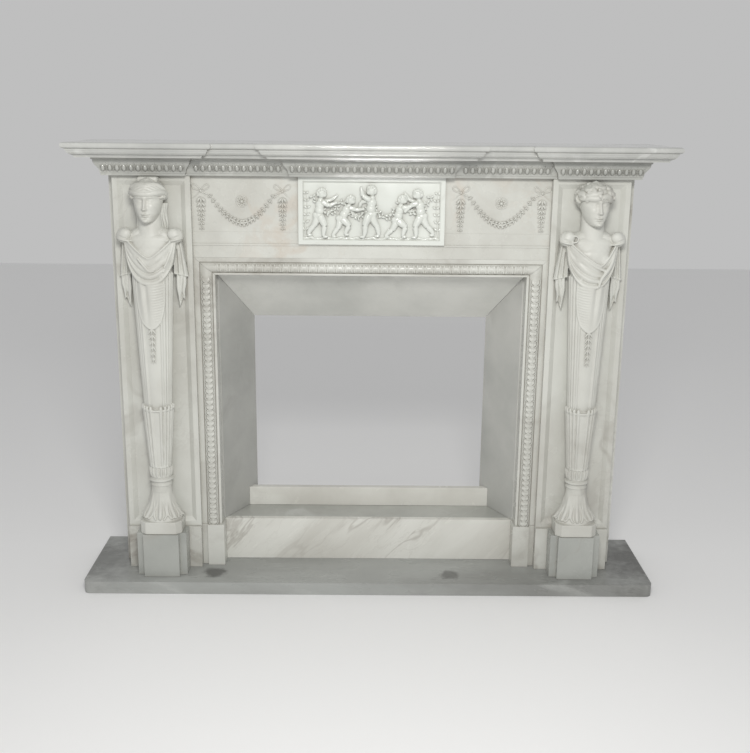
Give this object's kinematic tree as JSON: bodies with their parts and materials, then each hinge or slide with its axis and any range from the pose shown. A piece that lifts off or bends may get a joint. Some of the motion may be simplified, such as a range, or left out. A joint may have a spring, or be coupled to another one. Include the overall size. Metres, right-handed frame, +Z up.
{
  "type": "fireplace mantel",
  "caption": "Marble fireplace mantel with herm figures before its pilasters, a carved frieze and tablet, a moulded shelf, splayed slips and a hearth slab.",
  "frame": {"origin": "middle of the hearth slab's underside", "axes": "+X along the shelf to the viewer's right, +Y back into the wall, +Z up; the room side is -Y"},
  "size_m": [1.824, 0.359, 1.41],
  "materials": {
    "white_marble": "satin",
    "grey_marble": "polished"
  },
  "bodies": {
    "root": {"hearth_slab": "grey_marble", "hearth_riser": "white_marble", "hearth_ledge": "grey_marble", "fire_riser": "white_marble", "slip_top": "grey_marble", "slip_left": "grey_marble", "slip_right": "grey_marble", "lintel_moulding": "white_marble", "jamb_moulding_left": "white_marble", "jamb_moulding_right": "white_marble", "jamb_plinth_left": "white_marble", "jamb_plinth_right": "white_marble", "frieze_panel": "white_marble", "frieze_tablet": "white_marble", "side_return_left": "white_marble", "side_return_right": "white_marble", "pilaster_plinth_left": "white_marble", "pilaster_plinth_right": "white_marble", "pilaster_left": "white_marble", "pilaster_right": "white_marble", "figure_plinth_left": "grey_marble", "figure_plinth_right": "grey_marble", "herm_figure_left": "white_marble", "herm_figure_right": "white_marble", "bed_mould_left": "grey_marble", "bed_mould_right": "grey_marble", "bed_mould_link_left": "grey_marble", "bed_mould_link_right": "grey_marble", "bed_mould_centre": "grey_marble", "mantel_shelf": "grey_marble"}
  },
  "joints": []
}
